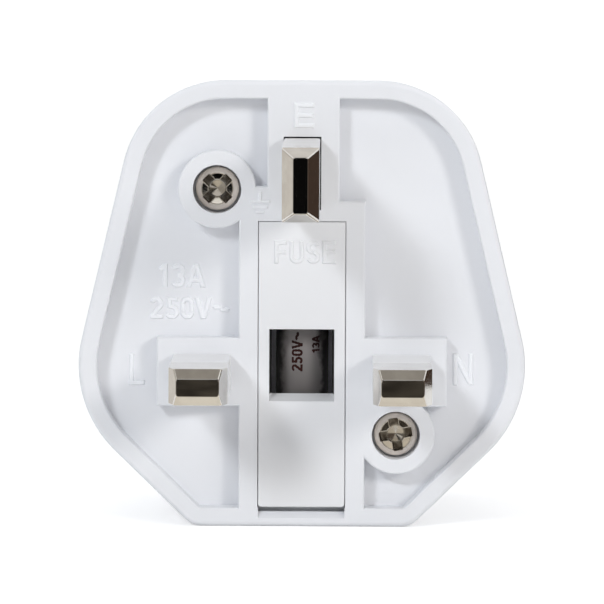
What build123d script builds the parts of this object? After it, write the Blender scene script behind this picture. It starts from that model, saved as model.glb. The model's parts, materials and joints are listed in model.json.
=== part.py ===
from build123d import *
from math import radians, tan
import os

# A fused travel adapter: a British three-pin plug in front, a shuttered socket for foreign plugs behind.
# X runs to the right and Z up from the flat bottom edge, both seen from the pin side, in millimetres.
# Y is the depth behind the pin face, so what stands out in front of that face has a negative depth.

# Body outline, as corner points before they are rounded
body_width = 50.0
body_height = 50.0
top_corner_half = 17.8
side_corner_height = 13.7
side_corner_cut = 1.4
bottom_corner_half = 12.3
top_corner_radius = 11.75
side_corner_radius = 13.4
bottom_corner_radius = 2.6

# Body in depth
body_depth = 33.0
base_depth = 11.0
draft_angle = 3.5
shell_wall = 2.0
socket_wall = 3.0
rim_edge_radius = 0.6
socket_edge_radius = 2.2
seam_edge_chamfer = 0.2
inner_corner_radius = 0.5

# Lip of the cover inside the base
lip_height = 1.5
lip_thickness = 0.8
lip_clearance = 0.1

# Pin face: a rim and a raised island with a recess between them
rim_width = 2.1
recess_depth = 2.5
floor_thickness = 2.0
island_edge_radius = 0.25
wide_column_half = 7.05
wide_column_top_left = 38.1
wide_column_top_right = 36.5
narrow_column_left = 3.9
narrow_column_right = 4.15
arm_reach = 16.2
arm_bottom = 13.55
arm_top = 21.2

# Plug pins
pin_spacing = 22.2
pin_row_height = 17.4
earth_pin_rise = 22.2
live_pin_width = 6.4
live_pin_height = 4.0
live_pin_projection = 17.7
earth_pin_width = 4.0
earth_pin_height = 8.0
earth_pin_projection = 22.7
live_tip_bevel = 1.03
live_tip_length = 0.85
live_tip_side_bevel = 0.85
live_tip_side_length = 2.5
earth_tip_bevel = 0.96
earth_tip_length = 1.8
earth_tip_side_bevel = 1.2
earth_tip_side_length = 1.75
pin_edge_radius = 0.12
tip_corner_radius = 0.35
earth_hole_clearance = 0.09
sleeve_length = 9.6
sleeve_thickness = 0.6
sleeve_seat_depth = 1.5
flange_thickness = 1.5
flange_overhang = 0.8
pin_tail_width = 5.0
pin_tail_height = 3.4
pin_stub_radius = 1.3
live_stub_inset = 1.7

# Housing screws
screw_places = ((-9.5, 37.8), (10.55, 10.3))
front_boss_radius = 4.35
inner_boss_radius = 3.6
counterbore_radius = 2.7
counterbore_depth = 3.2
screw_head_radius = 2.42
screw_head_height = 1.9
screw_head_dome = 0.7
screw_shank_radius = 1.45
screw_length = 17.0
screw_hole_clearance = 0.2
screw_point_length = 2.0
screw_tip_room = 1.5
screw_turns = (45, 10)
cross_length = 3.3
cross_width = 0.95
cross_depth = 1.1
boss_rib_thickness = 1.5

# Fuse and its carrier
fuse_length = 25.4
fuse_radius = 3.17
fuse_tube_radius = 2.95
fuse_cap_length = 5.8
fuse_cap_end = 0.4
fuse_cap_edge_radius = 0.3
fuse_axis_depth = 6.0
carrier_width = 9.7
carrier_height = 32.0
carrier_bottom = 2.2
carrier_depth = 8.5
carrier_plate = 1.8
carrier_end_wall = 1.2
carrier_rib = 1.5
carrier_side_wall = 0.65
carrier_clearance = 0.07
carrier_edge_radius = 0.15
carrier_corner_radius = 0.4
window_width = 7.3
window_bottom = 14.1
window_height = 8.1
window_draft_angle = 8.0
window_sill_angle = 22.0
fuse_grip_clearance = 0.08
pry_slot_height = 1.25
pry_slot_depth = 2.3
pry_slot_gap = 0.6
pry_slot_lead_in = 0.9
pry_catch = 0.8
compartment_wall = 1.0
compartment_depth = 9.6

# Fuse clips
clip_strip = 0.5
clip_width = 4.4
clip_clearance = 0.1
clip_lip_flare = 0.4
clip_lip_length = 0.9
clip_arm_front = 4.6
clip_bend_radius = 0.6
clip_slot_room = 0.4
clip_from_fuse_end = 2.9
strap_width = 4.2
upper_strap_reach = 8.5

# Insulating block that the socket contacts sit on
block_thickness = 1.4
block_clearance = 0.3
block_peg_radius = 1.0
block_peg_head = 0.4
peg_clearance = 0.05
block_tail_clearance = 0.15

# Socket entries for foreign plugs
socket_row_height = 21.0
round_entry_offset = 9.5
round_entry_radius = 3.0
flat_entry_offset = 6.35
flat_entry_width = 2.4
flat_entry_height = 8.0
earth_entry_rise = 12.0
earth_entry_radius = 3.1
entry_edge_chamfer = 0.5

# Socket contacts
contact_strip = 0.6
contact_height = 6.6
contact_mouth_gap = 0.8
contact_pinch = 0.5
contact_mouth_length = 1.8
contact_bend_radius = 0.7
live_jaw_inner = 5.0
live_jaw_outer = 12.2
earth_jaw_half = 2.9
contact_tab_width = 4.0

# Shutter behind the live entries, with its return spring and the plate that keeps it in place
shutter_travel = 8.6
shutter_overlap = 0.25
shutter_inner = 4.8
shutter_outer = 12.75
shutter_thickness = 4.3
shutter_skin = 0.9
shutter_ramp_half = 2.6
shutter_running_gap = 0.15
shutter_bar_height = 2.8
shutter_bar_thickness = 3.2
shutter_stem_radius = 0.85
shutter_foot_height = 1.0
shutter_foot_bottom = 2.9
spring_rib_height = 1.2
spring_radius = 1.45
spring_wire_radius = 0.2
spring_turns = 6
spring_seat_gap = 0.05
rail_width = 1.4
rail_stop_height = 1.0
retainer_thickness = 1.1
retainer_peg_radius = 0.5
retainer_entry_room = 0.3
retainer_edge_clearance = 0.3

# Values that follow from the sizes above
side_corner_half = body_width / 2 + side_corner_cut
floor_back = recess_depth + floor_thickness
cover_inner_depth = body_depth - socket_wall
pin_half = pin_spacing / 2
earth_pin_above = pin_row_height + earth_pin_rise
carrier_half = carrier_width / 2
carrier_top = carrier_bottom + carrier_height
compartment_half = carrier_half + carrier_clearance
compartment_bottom = carrier_bottom - carrier_clearance
compartment_top = carrier_top + carrier_clearance
window_top = window_bottom + window_height
fuse_centre_height = (window_bottom + window_top) / 2
fuse_bottom = fuse_centre_height - fuse_length / 2
fuse_top = fuse_centre_height + fuse_length / 2
strap_depth = base_depth + clip_strip
web_depth = strap_depth + block_thickness
web_back = web_depth + contact_strip
shutter_front = cover_inner_depth - shutter_running_gap
shutter_back = shutter_front - shutter_thickness
retainer_back = shutter_back - shutter_running_gap
retainer_front = retainer_back - retainer_thickness
contact_mouth = retainer_front - contact_mouth_gap
shutter_half = flat_entry_height / 2 + shutter_overlap
shutter_bottom = socket_row_height - shutter_half
shutter_top = socket_row_height + shutter_half
earth_entry_height = socket_row_height + earth_entry_rise
live_stub_offset = pin_half - live_stub_inset
rail_inner = shutter_outer + shutter_running_gap
rail_outer = rail_inner + rail_width
spring_rib_bottom = shutter_bottom - shutter_running_gap - spring_rib_height
spring_depth = (shutter_back + shutter_front) / 2
lower_clip_height = fuse_bottom + clip_from_fuse_end
upper_clip_height = fuse_top - clip_from_fuse_end
clip_arm = fuse_radius + clip_clearance + clip_strip / 2
screw_tip_depth = counterbore_depth + screw_length
rail_bottom = shutter_bottom - spring_rib_height
rail_top = shutter_top + shutter_travel + shutter_running_gap + rail_stop_height
rail_middle = (rail_inner + rail_outer) / 2
peg_heights = (shutter_bottom, shutter_top)
retainer_pegs = [(side * rail_middle, height) for side in (-1, 1) for height in peg_heights]


def behind(depth):
    """The plane parallel to the pin face at this depth, which looks and extrudes towards the pins."""
    return Plane.XZ.offset(-depth)


def draw_in(depth):
    """How far the sides and the top have drawn in at this depth, while the bottom stays level."""
    return depth * tan(radians(draft_angle))


def span(left, right, low, high, mode=Mode.ADD):
    """A rectangle between two X and two Z values, in the sketch that is open."""
    with Locations(((left + right) / 2, (low + high) / 2)):
        Rectangle(abs(right - left), high - low, mode=mode)


def body_corners(below):
    """The corners of the outline at the pin face, with the lower sides run on this far below the bottom."""
    lower_slope = (side_corner_half - bottom_corner_half) / side_corner_height
    right = [
        (bottom_corner_half - below * lower_slope, -below),
        (side_corner_half, side_corner_height),
        (top_corner_half, body_height),
    ]
    return right + [(-x, z) for x, z in reversed(right)]


def round_upper_corners(outline, inwards=0.0):
    """Rounds the top and side corners of an outline that was moved inwards by this much."""
    fillet(outline.vertices().group_by(Axis.Y)[-1], top_corner_radius - inwards)
    across = outline.vertices().sort_by(Axis.X)
    fillet([across[0], across[-1]], side_corner_radius - inwards)


def inner_outline(depth, inset):
    """The body's outline at this depth, moved inwards by the inset, with its corners rounded."""
    drawn = draw_in(depth)
    with BuildSketch() as outline:
        with BuildLine():
            Polyline(*body_corners(drawn), close=True)
        make_face()
        offset(amount=-drawn - inset, kind=Kind.INTERSECTION)
        bottom_radius = max(bottom_corner_radius - inset, inner_corner_radius)
        fillet(outline.vertices().group_by(Axis.Y)[0], bottom_radius)
        round_upper_corners(outline, drawn + inset)
    return outline.sketch


def face_island():
    """What stands as high as the rim: the fuse column, the arms round the live pins and the bosses."""
    with BuildSketch() as island:
        span(-wide_column_half, 0, 0, wide_column_top_left)
        span(0, wide_column_half, 0, wide_column_top_right)
        span(-narrow_column_left, narrow_column_right, 0, body_height)
        span(-arm_reach, arm_reach, arm_bottom, arm_top)
        lower_screw_x, lower_screw_height = screw_places[-1]
        span(wide_column_half, lower_screw_x, lower_screw_height, arm_bottom)
        with Locations(*screw_places):
            Circle(front_boss_radius)
    return island.sketch


def live_entry(side, room=0.0):
    """A socket entry that takes a round pin or an upright flat blade, on one side, with room all round."""
    with BuildSketch() as entry:
        with Locations((side * round_entry_offset, socket_row_height)):
            Circle(round_entry_radius + room)
        with Locations((side * flat_entry_offset, socket_row_height)):
            Rectangle(flat_entry_width + 2 * room, flat_entry_height + 2 * room)
    return entry.sketch


def jaw_path(inner, outer):
    """The corner points of a contact's two leaves and web, across X and into the depth."""
    middle = (inner + outer) / 2
    half = (outer - inner) / 2
    waist = half - contact_pinch
    waist_depth = contact_mouth - contact_mouth_length
    mid_strip = web_depth + contact_strip / 2
    one_leaf = [(half, contact_mouth), (waist, waist_depth), (half, mid_strip)]
    other_leaf = [(-x, depth) for x, depth in reversed(one_leaf)]
    return [(middle + x, depth) for x, depth in one_leaf + other_leaf]


def bevelled_profile(width, tip, bevel, length):
    """The corners of a blade's outline in one view, across the blade and in depth, from floor to floor."""
    one_side = [(width / 2, floor_back), (width / 2, tip + length), (width / 2 - bevel, tip)]
    return one_side + [(-across, depth) for across, depth in reversed(one_side)]


def pin_blade(centre, size, projection, side_bevel, tip_bevel):
    """A pin's blade: its plan crossed with its side view, with a rounded tip and softened edges."""
    (x, height), (width, thickness) = centre, size
    with BuildPart() as blade:
        with BuildSketch(Plane.XY.offset(height - thickness / 2)):
            with BuildLine():
                plan = bevelled_profile(width, -projection, *side_bevel)
                Polyline(*[(x + across, depth) for across, depth in plan], close=True)
            make_face()
        extrude(amount=thickness)
        with BuildSketch(Plane.YZ.offset(x - width / 2)):
            with BuildLine():
                side_view = bevelled_profile(thickness, -projection, *tip_bevel)
                Polyline(*[(depth, height + up) for up, depth in side_view], close=True)
            make_face()
        extrude(amount=width, mode=Mode.INTERSECT)
        slanted_edges = blade.edges().group_by(Axis.Y)[1]
        fillet(slanted_edges, tip_corner_radius)
        back_edges = blade.faces().sort_by(Axis.Y)[-1].edges()
        fillet(blade.edges() - back_edges, pin_edge_radius)
    return blade.part


def live_pin(side, tail_end, stub_end):
    """A line or neutral pin: a bevelled blade with a waist for its sleeve, a flange, a tail and a stub."""
    centre = (side * pin_half, pin_row_height)
    with BuildPart() as pin:
        size = (live_pin_width, live_pin_height)
        side_bevel = (live_tip_side_bevel, live_tip_side_length)
        tip_bevel = (live_tip_bevel, live_tip_length)
        add(pin_blade(centre, size, live_pin_projection, side_bevel, tip_bevel))
        with BuildSketch(behind(sleeve_seat_depth)):
            with Locations(centre):
                RectangleRounded(live_pin_width, live_pin_height, pin_edge_radius)
                Rectangle(
                    live_pin_width - 2 * sleeve_thickness,
                    live_pin_height - 2 * sleeve_thickness,
                    mode=Mode.SUBTRACT,
                )
        extrude(amount=sleeve_seat_depth + sleeve_length, mode=Mode.SUBTRACT)
        with BuildSketch(behind(floor_back + flange_thickness)):
            with Locations(centre):
                Rectangle(live_pin_width + 2 * flange_overhang, live_pin_height + 2 * flange_overhang)
        extrude(amount=flange_thickness)
        with BuildSketch(behind(tail_end)):
            with Locations(centre):
                Rectangle(pin_tail_width, pin_tail_height)
        extrude(amount=tail_end - floor_back)
        with BuildSketch(behind(stub_end)):
            with Locations((side * live_stub_offset, pin_row_height)):
                Circle(pin_stub_radius)
        extrude(amount=stub_end - tail_end)
    return pin


def pin_sleeve(side):
    """The insulating sleeve moulded round the waist of a live pin, flush with the pin's blade."""
    with BuildPart() as sleeve:
        with BuildSketch(behind(sleeve_seat_depth)):
            with Locations((side * pin_half, pin_row_height)):
                RectangleRounded(live_pin_width, live_pin_height, pin_edge_radius)
                Rectangle(
                    live_pin_width - 2 * sleeve_thickness,
                    live_pin_height - 2 * sleeve_thickness,
                    mode=Mode.SUBTRACT,
                )
        extrude(amount=sleeve_seat_depth + sleeve_length)
    return sleeve


os.makedirs("parts", exist_ok=True)

# Body blank: the outer form of both mouldings, drafted towards the socket and level at the bottom
with BuildPart() as drafted_block:
    with BuildSketch() as blank_outline:
        with BuildLine():
            Polyline(*body_corners(draw_in(body_depth) + bottom_corner_radius), close=True)
        make_face()
        round_upper_corners(blank_outline)
    extrude(amount=body_depth, taper=draft_angle)

with BuildPart() as body_blank:
    add(drafted_block.part, rotation=(-90, 0, 180))
    split(bisect_by=Plane.XY)
    bottom_edges = body_blank.faces().sort_by(Axis.Z)[0].edges().sort_by(Axis.X)
    fillet([bottom_edges[0], bottom_edges[-1]], bottom_corner_radius)
    fillet(body_blank.faces().sort_by(Axis.Y)[0].edges(), rim_edge_radius)
    fillet(body_blank.faces().sort_by(Axis.Y)[-1].edges(), socket_edge_radius)

# Pin base: the front moulding with the rim, the recessed face, the fuse compartment and the screw bosses
with BuildPart() as pin_base:
    add(body_blank.part)
    split(bisect_by=behind(base_depth))
    chamfer(pin_base.faces().sort_by(Axis.Y)[-1].edges(), seam_edge_chamfer)
    with BuildSketch(behind(recess_depth)):
        add(inner_outline(0, rim_width))
        add(face_island(), mode=Mode.SUBTRACT)
    extrude(amount=recess_depth, mode=Mode.SUBTRACT)
    recess_edges = pin_base.faces().sort_by(Axis.Y)[0].inner_wires().edges()
    fillet(recess_edges, island_edge_radius)
    with BuildSketch(behind(base_depth)):
        add(inner_outline(base_depth, shell_wall))
    extrude(amount=base_depth - floor_back, mode=Mode.SUBTRACT)
    with BuildSketch(behind(base_depth)):
        outer = compartment_half + compartment_wall
        span(-outer, outer, shell_wall / 2, compartment_top + compartment_wall)
        with Locations(*screw_places):
            Circle(inner_boss_radius)
    extrude(amount=base_depth - floor_back)
    with BuildSketch(behind(compartment_depth)):
        span(-compartment_half, compartment_half, compartment_bottom, compartment_top)
    extrude(amount=compartment_depth, mode=Mode.SUBTRACT)
    with BuildSketch(Plane.YZ.offset(-carrier_half)):
        with BuildLine():
            slot_floor = carrier_bottom - pry_slot_gap
            Polyline(
                (0, carrier_bottom - pry_slot_height),
                (pry_slot_lead_in, slot_floor),
                (pry_slot_depth, slot_floor),
                (pry_slot_depth, carrier_bottom),
                (0, carrier_bottom),
                close=True,
            )
        make_face()
    extrude(amount=carrier_width, mode=Mode.SUBTRACT)
    with BuildSketch(behind(base_depth)):
        slot_inner = clip_arm - clip_strip / 2 - clip_slot_room
        slot_outer = clip_arm + clip_strip / 2 + clip_lip_flare + clip_slot_room
        slot_half = clip_width / 2 + clip_slot_room
        for height in (lower_clip_height, upper_clip_height):
            for side in (-1, 1):
                span(side * slot_inner, side * slot_outer, height - slot_half, height + slot_half)
    extrude(amount=base_depth - compartment_depth, mode=Mode.SUBTRACT)
    with BuildSketch(behind(floor_back)):
        with Locations((-pin_half, pin_row_height), (pin_half, pin_row_height)):
            RectangleRounded(live_pin_width, live_pin_height, pin_edge_radius)
        with Locations((0, earth_pin_above)):
            Rectangle(
                earth_pin_width + 2 * earth_hole_clearance,
                earth_pin_height + 2 * earth_hole_clearance,
            )
    extrude(amount=floor_back, mode=Mode.SUBTRACT)
    with BuildSketch(behind(counterbore_depth)):
        with Locations(*screw_places):
            Circle(counterbore_radius)
    extrude(amount=counterbore_depth, mode=Mode.SUBTRACT)
    with BuildSketch(behind(base_depth)):
        with Locations(*screw_places):
            Circle(screw_shank_radius + screw_hole_clearance)
    extrude(amount=base_depth - counterbore_depth, mode=Mode.SUBTRACT)
pin_base.part.label = "pin_base"
export_step(pin_base.part, "parts/pin_base.step")

# Socket cover: the rear moulding with the entries, the screw bosses and the shutter's rails
with BuildPart() as socket_cover:
    add(body_blank.part)
    split(bisect_by=behind(base_depth), keep=Keep.BOTTOM)
    chamfer(socket_cover.faces().sort_by(Axis.Y)[0].edges(), seam_edge_chamfer)
    with BuildSketch(behind(cover_inner_depth)):
        add(inner_outline(body_depth, shell_wall))
    extrude(amount=cover_inner_depth - base_depth, mode=Mode.SUBTRACT)
    with BuildSketch(behind(base_depth)):
        lip_inset = shell_wall + lip_clearance
        add(inner_outline(base_depth, lip_inset))
        add(inner_outline(base_depth, lip_inset + lip_thickness), mode=Mode.SUBTRACT)
        lip_gap_half = compartment_half + compartment_wall + block_clearance
        span(-lip_gap_half, lip_gap_half, 0, side_corner_height, mode=Mode.SUBTRACT)
    extrude(amount=lip_height)
    with BuildSketch(behind(cover_inner_depth)):
        with Locations(*screw_places):
            Circle(inner_boss_radius)
    extrude(amount=cover_inner_depth - base_depth)
    with BuildSketch(behind(cover_inner_depth)):
        rib_half = boss_rib_thickness / 2
        for x, height in screw_places:
            wall = side_corner_half if x > 0 else -side_corner_half
            span(x, wall, height - rib_half, height + rib_half)
        add(inner_outline(body_depth, shell_wall / 2), mode=Mode.INTERSECT)
    extrude(amount=cover_inner_depth - web_depth)
    with BuildSketch(behind(cover_inner_depth)):
        for side in (-1, 1):
            span(side * rail_inner, side * rail_outer, rail_bottom, rail_top)
            span(side * shutter_inner, side * rail_outer, rail_top - rail_stop_height, rail_top)
        spring_rib_top = spring_rib_bottom + spring_rib_height
        span(-rail_outer, rail_outer, spring_rib_bottom, spring_rib_top)
        stem_room = shutter_stem_radius + shutter_running_gap
        span(-stem_room, stem_room, spring_rib_bottom, spring_rib_top, mode=Mode.SUBTRACT)
    extrude(amount=cover_inner_depth - retainer_back)
    with BuildSketch(behind(retainer_back)):
        with Locations(*retainer_pegs):
            Circle(retainer_peg_radius)
    extrude(amount=retainer_thickness)
    with BuildSketch(behind(screw_tip_depth + screw_tip_room)):
        with Locations(*screw_places):
            Circle(screw_shank_radius)
    extrude(amount=screw_tip_depth + screw_tip_room - base_depth, mode=Mode.SUBTRACT)
    with BuildSketch(behind(body_depth)):
        add(live_entry(-1))
        add(live_entry(1))
        with Locations((0, earth_entry_height)):
            Circle(earth_entry_radius)
    extrude(amount=socket_wall, mode=Mode.SUBTRACT)
    chamfer(socket_cover.faces().sort_by(Axis.Y)[-1].inner_wires().edges(), entry_edge_chamfer)
socket_cover.part.label = "socket_cover"
export_step(socket_cover.part, "parts/socket_cover.step")

# Line pin, riveted to the strap of the lower fuse clip, and neutral pin, riveted to its socket contact
line_pin = live_pin(-1, base_depth, strap_depth)
line_pin.part.label = "line_pin"
export_step(line_pin.part, "parts/line_pin.step")

neutral_pin = live_pin(1, web_depth, web_back)
neutral_pin.part.label = "neutral_pin"
export_step(neutral_pin.part, "parts/neutral_pin.step")

# Insulating sleeves of the live pins
for name, side in (("line_pin_sleeve", -1), ("neutral_pin_sleeve", 1)):
    sleeve = pin_sleeve(side)
    sleeve.part.label = name
    export_step(sleeve.part, f"parts/{name}.step")

# Earth pin: longer and upright, bare metal all the way, riveted to the earth contact
with BuildPart() as earth_pin:
    earth_centre = (0, earth_pin_above)
    earth_size = (earth_pin_width, earth_pin_height)
    earth_side_bevel = (earth_tip_side_bevel, earth_tip_side_length)
    earth_top_bevel = (earth_tip_bevel, earth_tip_length)
    add(pin_blade(earth_centre, earth_size, earth_pin_projection, earth_side_bevel, earth_top_bevel))
    with BuildSketch(behind(floor_back + flange_thickness)):
        with Locations(earth_centre):
            Rectangle(earth_pin_width + 2 * flange_overhang, earth_pin_height)
    extrude(amount=flange_thickness)
    with BuildSketch(behind(web_depth)):
        with Locations(earth_centre):
            Rectangle(pin_tail_height, pin_tail_width)
    extrude(amount=web_depth - floor_back)
    with BuildSketch(behind(web_back)):
        with Locations(earth_centre):
            Circle(pin_stub_radius)
    extrude(amount=contact_strip)
earth_pin.part.label = "earth_pin"
export_step(earth_pin.part, "parts/earth_pin.step")

# Housing screws: two pan-head screws with a cross recess, driven from the pin face into the cover's bosses
with BuildPart() as housing_screws:
    head_front = counterbore_depth - screw_head_height
    for (x, height), turn in zip(screw_places, screw_turns):
        with BuildSketch(Plane((x, 0, height))):
            with BuildLine():
                dome_edge = (screw_head_radius, head_front + screw_head_dome)
                dome = TangentArc((0, head_front), dome_edge, tangent=(1, 0))
                Polyline(
                    dome @ 1,
                    (screw_head_radius, counterbore_depth),
                    (screw_shank_radius, counterbore_depth),
                    (screw_shank_radius, screw_tip_depth - screw_point_length),
                    (0, screw_tip_depth),
                    dome @ 0,
                )
            make_face()
        revolve(axis=Axis((x, 0, height), (0, 1, 0)))
        with BuildSketch(behind(head_front + cross_depth)):
            with Locations(Location((x, height), turn)):
                Rectangle(cross_length, cross_width)
                Rectangle(cross_width, cross_length)
        extrude(amount=cross_depth, mode=Mode.SUBTRACT)
housing_screws.part.label = "housing_screws"
export_step(housing_screws.part, "parts/housing_screws.step")

# Fuse carrier: a plate flush with the face, a drafted window, a pocket behind and ribs that hold the fuse
with BuildPart() as fuse_carrier:
    with BuildSketch(behind(carrier_plate)):
        span(-carrier_half, carrier_half, carrier_bottom, carrier_top)
    extrude(amount=carrier_plate)
    fillet(fuse_carrier.edges().filter_by(Axis.Y).group_by(Axis.Z)[0], carrier_corner_radius)
    fillet(fuse_carrier.faces().sort_by(Axis.Y)[0].edges(), carrier_edge_radius)
    with BuildSketch(behind(carrier_depth)):
        span(-carrier_half, carrier_half, window_bottom - carrier_rib, window_top + carrier_rib)
        lower_wall = carrier_bottom + pry_catch
        span(-carrier_half, carrier_half, lower_wall, lower_wall + carrier_end_wall)
        span(-carrier_half, carrier_half, carrier_top - carrier_end_wall, carrier_top)
    extrude(amount=carrier_depth - carrier_plate)
    with BuildSketch(behind(carrier_depth)):
        pocket_half = carrier_half - carrier_side_wall
        span(-pocket_half, pocket_half, window_bottom, window_top)
    extrude(amount=carrier_depth - carrier_plate, mode=Mode.SUBTRACT)
    for depth in (0, carrier_plate):
        drawn = depth * tan(radians(window_draft_angle))
        sill = window_bottom + depth * tan(radians(window_sill_angle))
        window_half = window_width / 2 - drawn
        with BuildSketch(behind(depth)):
            span(-window_half, window_half, sill, window_top - drawn)
    loft(ruled=True, mode=Mode.SUBTRACT)
    with BuildSketch(Plane.XY.offset(window_bottom - carrier_rib)):
        with Locations((0, fuse_axis_depth)):
            Circle(fuse_tube_radius + fuse_grip_clearance)
    extrude(amount=window_height + 2 * carrier_rib, mode=Mode.SUBTRACT)
fuse_carrier.part.label = "fuse_carrier"
export_step(fuse_carrier.part, "parts/fuse_carrier.step")

# Cartridge fuse: a ceramic tube with a metal cap pressed over each end
with BuildPart() as fuse_tube:
    with BuildSketch(Plane.XY.offset(fuse_bottom + fuse_cap_end)):
        with Locations((0, fuse_axis_depth)):
            Circle(fuse_tube_radius)
    extrude(amount=fuse_length - 2 * fuse_cap_end)
fuse_tube.part.label = "fuse_tube"
export_step(fuse_tube.part, "parts/fuse_tube.step")

for name, end, inwards in (("fuse_cap_lower", fuse_bottom, 1), ("fuse_cap_upper", fuse_top, -1)):
    with BuildPart() as cap:
        with BuildSketch(Plane.XY.offset(end)):
            with Locations((0, fuse_axis_depth)):
                Circle(fuse_radius)
        extrude(amount=inwards * fuse_cap_length)
        end_edge = cap.edges().sort_by(Axis.Z)[0 if inwards > 0 else -1]
        fillet(end_edge, fuse_cap_edge_radius)
        with BuildSketch(Plane.XY.offset(end + inwards * fuse_cap_end)):
            with Locations((0, fuse_axis_depth)):
                Circle(fuse_tube_radius)
        extrude(amount=inwards * fuse_cap_length, mode=Mode.SUBTRACT)
    cap.part.label = name
    export_step(cap.part, f"parts/{name}.step")

# Fuse clips: U-shaped springs that grip the caps, each with a strap along the back of the compartment
clip_path = [
    (clip_arm + clip_lip_flare, clip_arm_front),
    (clip_arm, clip_arm_front + clip_lip_length),
    (clip_arm, base_depth + clip_strip / 2),
]
clip_path += [(-x, depth) for x, depth in reversed(clip_path)]
strap_half = strap_width / 2

with BuildPart() as fuse_clip_lower:
    with BuildSketch(Plane.XY.offset(lower_clip_height - clip_width / 2)):
        with BuildLine():
            FilletPolyline(*clip_path, radius=clip_bend_radius)
        trace(line_width=clip_strip)
    extrude(amount=clip_width)
    with BuildSketch(behind(strap_depth)):
        strap_left = -live_stub_offset - strap_half
        strap_right = -live_stub_offset + strap_half
        strap_low = lower_clip_height - strap_half
        span(strap_left, 0, strap_low, lower_clip_height + strap_half)
        span(strap_left, strap_right, strap_low, pin_row_height + strap_half)
        with Locations((-live_stub_offset, pin_row_height)):
            Circle(pin_stub_radius, mode=Mode.SUBTRACT)
    extrude(amount=clip_strip)
fuse_clip_lower.part.label = "fuse_clip_lower"
export_step(fuse_clip_lower.part, "parts/fuse_clip_lower.step")

with BuildPart() as fuse_clip_upper:
    with BuildSketch(Plane.XY.offset(upper_clip_height - clip_width / 2)):
        with BuildLine():
            FilletPolyline(*clip_path, radius=clip_bend_radius)
        trace(line_width=clip_strip)
    extrude(amount=clip_width)
    with BuildSketch(behind(strap_depth)):
        span(-upper_strap_reach, 0, upper_clip_height - strap_half, upper_clip_height + strap_half)
    extrude(amount=clip_strip)
    with BuildSketch(behind(web_depth)):
        tab_inner = -upper_strap_reach + clip_strip
        span(-upper_strap_reach, tab_inner, upper_clip_height - strap_half, upper_clip_height + strap_half)
    extrude(amount=web_depth - base_depth)
fuse_clip_upper.part.label = "fuse_clip_upper"
export_step(fuse_clip_upper.part, "parts/fuse_clip_upper.step")

# Contact block: the insulating plate between the fuse straps and the socket contacts
line_peg = (-(live_jaw_inner + live_jaw_outer) / 2, socket_row_height)
with BuildPart() as contact_block:
    with BuildSketch(behind(web_depth)):
        add(inner_outline(body_depth, shell_wall + block_clearance))
        with Locations(*screw_places):
            Circle(inner_boss_radius + block_clearance, mode=Mode.SUBTRACT)
        with Locations((pin_half, pin_row_height)):
            Rectangle(
                pin_tail_width + 2 * block_tail_clearance,
                pin_tail_height + 2 * block_tail_clearance,
                mode=Mode.SUBTRACT,
            )
        with Locations((0, earth_pin_above)):
            Rectangle(
                pin_tail_height + 2 * block_tail_clearance,
                pin_tail_width + 2 * block_tail_clearance,
                mode=Mode.SUBTRACT,
            )
        span(
            -upper_strap_reach - block_tail_clearance,
            -upper_strap_reach + clip_strip + block_tail_clearance,
            upper_clip_height - strap_half - block_tail_clearance,
            upper_clip_height + strap_half + block_tail_clearance,
            mode=Mode.SUBTRACT,
        )
    extrude(amount=block_thickness)
    with BuildSketch(behind(strap_depth)):
        pad_half = compartment_half + compartment_wall
        span(-pad_half, pad_half, window_bottom, window_top)
    extrude(amount=clip_strip)
    with BuildSketch(behind(web_back + block_peg_head)):
        with Locations(line_peg):
            Circle(block_peg_radius)
    extrude(amount=contact_strip + block_peg_head)
contact_block.part.label = "contact_block"
export_step(contact_block.part, "parts/contact_block.step")

# Socket contacts: a folded strip each, with two leaves that grip the pin between them
tab_half = contact_tab_width / 2
with BuildPart() as line_contact:
    with BuildSketch(Plane.XY.offset(socket_row_height - contact_height / 2)):
        with BuildLine():
            FilletPolyline(*jaw_path(-live_jaw_outer, -live_jaw_inner), radius=contact_bend_radius)
        trace(line_width=contact_strip)
    extrude(amount=contact_height)
    with BuildSketch(behind(web_back)):
        tab_left = -upper_strap_reach - tab_half
        tab_right = -upper_strap_reach + tab_half
        span(tab_left, tab_right, socket_row_height, upper_clip_height + strap_half)
    extrude(amount=contact_strip)
    with BuildSketch(behind(web_back)):
        with Locations(line_peg):
            Circle(block_peg_radius + peg_clearance)
    extrude(amount=contact_strip, mode=Mode.SUBTRACT)
line_contact.part.label = "line_contact"
export_step(line_contact.part, "parts/line_contact.step")

with BuildPart() as neutral_contact:
    with BuildSketch(Plane.XY.offset(socket_row_height - contact_height / 2)):
        with BuildLine():
            FilletPolyline(*jaw_path(live_jaw_inner, live_jaw_outer), radius=contact_bend_radius)
        trace(line_width=contact_strip)
    extrude(amount=contact_height)
    with BuildSketch(behind(web_back)):
        tab_left = live_stub_offset - tab_half
        tab_right = live_stub_offset + tab_half
        span(tab_left, tab_right, pin_row_height - tab_half, socket_row_height)
    extrude(amount=contact_strip)
    with BuildSketch(behind(web_back)):
        with Locations((live_stub_offset, pin_row_height)):
            Circle(pin_stub_radius)
    extrude(amount=contact_strip, mode=Mode.SUBTRACT)
neutral_contact.part.label = "neutral_contact"
export_step(neutral_contact.part, "parts/neutral_contact.step")

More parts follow.
